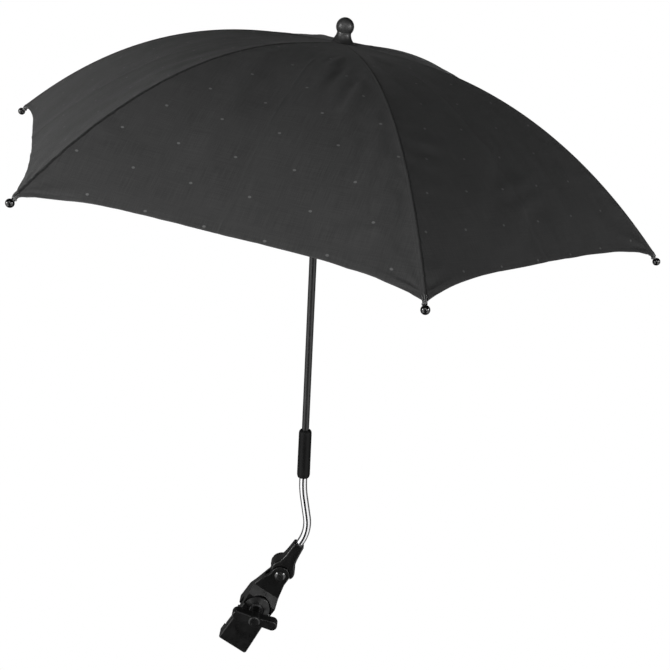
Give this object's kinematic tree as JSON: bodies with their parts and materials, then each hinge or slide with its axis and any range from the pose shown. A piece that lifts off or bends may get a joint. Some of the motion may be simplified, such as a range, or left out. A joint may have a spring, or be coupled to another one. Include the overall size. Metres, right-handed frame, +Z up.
{
  "type": "pram parasol",
  "caption": "Black pram parasol with a domed cloth canopy on folding ribs, a tilting two-piece mast, a bent chrome rod and a screw clamp for a handle tube.",
  "frame": {"origin": "centre of the clamped tube, in the middle of the jaws", "axes": "+Z up along the lower mast, +Y from the wing screw through to the back of the clamp, +X to the side that the bent rod leans to; the clamped tube runs along the mount's axis in the XZ plane"},
  "size_m": [0.6589, 0.6552, 0.6949],
  "materials": {
    "clamp_plastic": "matte moulded",
    "wing_plastic": "satin moulded",
    "knob_plastic": "matte moulded",
    "pad_rubber": "matte",
    "steel": "zinc plated",
    "black_steel": "satin black",
    "washer_plastic": "matte",
    "brass": "plain",
    "chrome": "polished",
    "sleeve_plastic": "matte",
    "mast_black": "satin black",
    "knuckle_black": "matte",
    "crown_plastic": "matte",
    "felt": "felt",
    "finial_plastic": "satin",
    "rib_steel": "black",
    "tip_plastic": "gloss",
    "canopy_fabric": "plain woven"
  },
  "bodies": {
    "clamp": {"clamp_arm": "clamp_plastic", "jaw_nut": "steel", "jaw_pad_rear": "pad_rubber", "pivot_bolt": "black_steel", "friction_washer": "washer_plastic"},
    "front_jaw": {"front_jaw": "clamp_plastic", "jaw_pad_front": "pad_rubber"},
    "wing_screw": {"wing_head": "wing_plastic", "screw_shank": "steel", "screw_washer": "steel"},
    "tilt_knob": {"tilt_knob": "knob_plastic", "knob_insert": "brass"},
    "socket": {"rod_socket": "clamp_plastic", "chrome_rod": "chrome", "mast_sleeve": "sleeve_plastic"},
    "lower_mast": {"lower_mast": "mast_black", "mast_plug": "washer_plastic", "knuckle_fork": "knuckle_black", "knuckle_pin": "mast_black"},
    "upper_mast": {"knuckle_tongue": "knuckle_black", "upper_mast": "mast_black", "catch_spring": "steel", "top_notch": "crown_plastic", "notch_ring": "steel", "cloth_washer": "felt", "finial": "finial_plastic"},
    "runner": {"runner": "crown_plastic", "runner_ring": "steel"},
    "rib_1": {"rib_1": "rib_steel", "rib_tip_1": "tip_plastic", "rivet_1": "steel", "canopy_gore_1": "canopy_fabric"},
    "stretcher_1": {"stretcher_1": "rib_steel"},
    "rib_2": {"rib_2": "rib_steel", "rib_tip_2": "tip_plastic", "rivet_2": "steel", "canopy_gore_2": "canopy_fabric"},
    "stretcher_2": {"stretcher_2": "rib_steel"},
    "rib_3": {"rib_3": "rib_steel", "rib_tip_3": "tip_plastic", "rivet_3": "steel", "canopy_gore_3": "canopy_fabric"},
    "stretcher_3": {"stretcher_3": "rib_steel"},
    "rib_4": {"rib_4": "rib_steel", "rib_tip_4": "tip_plastic", "rivet_4": "steel", "canopy_gore_4": "canopy_fabric"},
    "stretcher_4": {"stretcher_4": "rib_steel"},
    "rib_5": {"rib_5": "rib_steel", "rib_tip_5": "tip_plastic", "rivet_5": "steel", "canopy_gore_5": "canopy_fabric"},
    "stretcher_5": {"stretcher_5": "rib_steel"},
    "rib_6": {"rib_6": "rib_steel", "rib_tip_6": "tip_plastic", "rivet_6": "steel", "canopy_gore_6": "canopy_fabric"},
    "stretcher_6": {"stretcher_6": "rib_steel"}
  },
  "joints": [
    {"name": "clamp_tilt", "type": "hinge", "parent": "clamp", "child": "socket", "pos_m": [0.04051, 0, 0.06359], "axis": [0, 1, 0], "range_deg": [-24, 24]},
    {"name": "tilt_knob_turn", "type": "hinge", "parent": "clamp", "child": "tilt_knob", "pos_m": [0.04051, 0, 0.06359], "axis": [0, 1, 0], "range_deg": [-180, 180]},
    {"name": "jaw_slide", "type": "slide", "parent": "clamp", "child": "front_jaw", "axis": [0, -1, 0], "range_m": [0, 0.00375]},
    {"name": "wing_turn", "type": "hinge", "parent": "front_jaw", "child": "wing_screw", "pos_m": [0.01558, 0, 0.02446], "axis": [0, -1, 0], "range_deg": [-0.1, 1080.1]},
    {"name": "mast_turn", "type": "hinge", "parent": "socket", "child": "lower_mast", "pos_m": [0.0613, 0, 0.481], "axis": [0, 0, 1], "range_deg": [-170, 170]},
    {"name": "canopy_tilt", "type": "hinge", "parent": "lower_mast", "child": "upper_mast", "pos_m": [0.0613, 0, 0.481], "axis": [0.6993, 0.7148, 0], "range_deg": [-9.7, 20]},
    {"name": "runner_slide", "type": "slide", "parent": "upper_mast", "child": "runner", "axis": [0.1204, -0.1178, 0.9857], "range_m": [-0.07197, 0], "deforming": ["catch_spring", "canopy_gore_1", "canopy_gore_2", "canopy_gore_3", "canopy_gore_4", "canopy_gore_5", "canopy_gore_6"]},
    {"name": "rib_1_fold", "type": "hinge", "parent": "upper_mast", "child": "rib_1", "pos_m": [0.0729, -0.01624, 0.63193], "axis": [-0.2533, -0.9637, -0.0842], "range_deg": [-0.02, 58.92]},
    {"name": "stretcher_1_fold", "type": "hinge", "parent": "rib_1", "child": "stretcher_1", "pos_m": [0.01694, -0.00264, 0.64458], "axis": [-0.2533, -0.9637, -0.0842], "range_deg": [-83.32, 0.02]},
    {"name": "rib_2_fold", "type": "hinge", "parent": "upper_mast", "child": "rib_2", "pos_m": [0.07472, -0.02292, 0.63091], "axis": [0.7046, -0.6893, -0.1685], "range_deg": [-0.02, 58.92]},
    {"name": "stretcher_2_fold", "type": "hinge", "parent": "rib_2", "child": "stretcher_2", "pos_m": [0.03409, -0.06545, 0.63498], "axis": [0.7046, -0.6893, -0.1685], "range_deg": [-83.32, 0.02]},
    {"name": "rib_3_fold", "type": "hinge", "parent": "upper_mast", "child": "rib_3", "pos_m": [0.08144, -0.0246, 0.62988], "axis": [0.9579, 0.2744, -0.0842], "range_deg": [-0.02, 58.92]},
    {"name": "stretcher_3_fold", "type": "hinge", "parent": "rib_3", "child": "stretcher_3", "pos_m": [0.09726, -0.08122, 0.62538], "axis": [0.9579, 0.2744, -0.0842], "range_deg": [-83.32, 0.02]},
    {"name": "rib_4_fold", "type": "hinge", "parent": "upper_mast", "child": "rib_4", "pos_m": [0.08634, -0.0196, 0.62988], "axis": [0.2533, 0.9637, 0.0842], "range_deg": [-0.02, 58.92]},
    {"name": "stretcher_4_fold", "type": "hinge", "parent": "rib_4", "child": "stretcher_4", "pos_m": [0.14329, -0.03417, 0.62538], "axis": [0.2533, 0.9637, 0.0842], "range_deg": [-83.32, 0.02]},
    {"name": "rib_5_fold", "type": "hinge", "parent": "upper_mast", "child": "rib_5", "pos_m": [0.08451, -0.01291, 0.63091], "axis": [-0.7046, 0.6893, 0.1685], "range_deg": [-0.02, 58.92]},
    {"name": "stretcher_5_fold", "type": "hinge", "parent": "rib_5", "child": "stretcher_5", "pos_m": [0.12614, 0.02864, 0.63498], "axis": [-0.7046, 0.6893, 0.1685], "range_deg": [-83.32, 0.02]},
    {"name": "rib_6_fold", "type": "hinge", "parent": "upper_mast", "child": "rib_6", "pos_m": [0.07779, -0.01124, 0.63193], "axis": [-0.9579, -0.2744, 0.0842], "range_deg": [-0.02, 58.92]},
    {"name": "stretcher_6_fold", "type": "hinge", "parent": "rib_6", "child": "stretcher_6", "pos_m": [0.06297, 0.04441, 0.64458], "axis": [-0.9579, -0.2744, 0.0842], "range_deg": [-83.32, 0.02]}
  ],
  "couplings": [
    {"joint": "wing_turn", "follows": "jaw_slide", "rad_per_m": 5026.5},
    {"joint": "rib_1_fold", "follows": "runner_slide", "rad_per_m": -14.283},
    {"joint": "stretcher_1_fold", "follows": "runner_slide", "rad_per_m": 20.199},
    {"joint": "rib_2_fold", "follows": "runner_slide", "rad_per_m": -14.283},
    {"joint": "stretcher_2_fold", "follows": "runner_slide", "rad_per_m": 20.199},
    {"joint": "rib_3_fold", "follows": "runner_slide", "rad_per_m": -14.283},
    {"joint": "stretcher_3_fold", "follows": "runner_slide", "rad_per_m": 20.199},
    {"joint": "rib_4_fold", "follows": "runner_slide", "rad_per_m": -14.283},
    {"joint": "stretcher_4_fold", "follows": "runner_slide", "rad_per_m": 20.199},
    {"joint": "rib_5_fold", "follows": "runner_slide", "rad_per_m": -14.283},
    {"joint": "stretcher_5_fold", "follows": "runner_slide", "rad_per_m": 20.199},
    {"joint": "rib_6_fold", "follows": "runner_slide", "rad_per_m": -14.283},
    {"joint": "stretcher_6_fold", "follows": "runner_slide", "rad_per_m": 20.199}
  ]
}
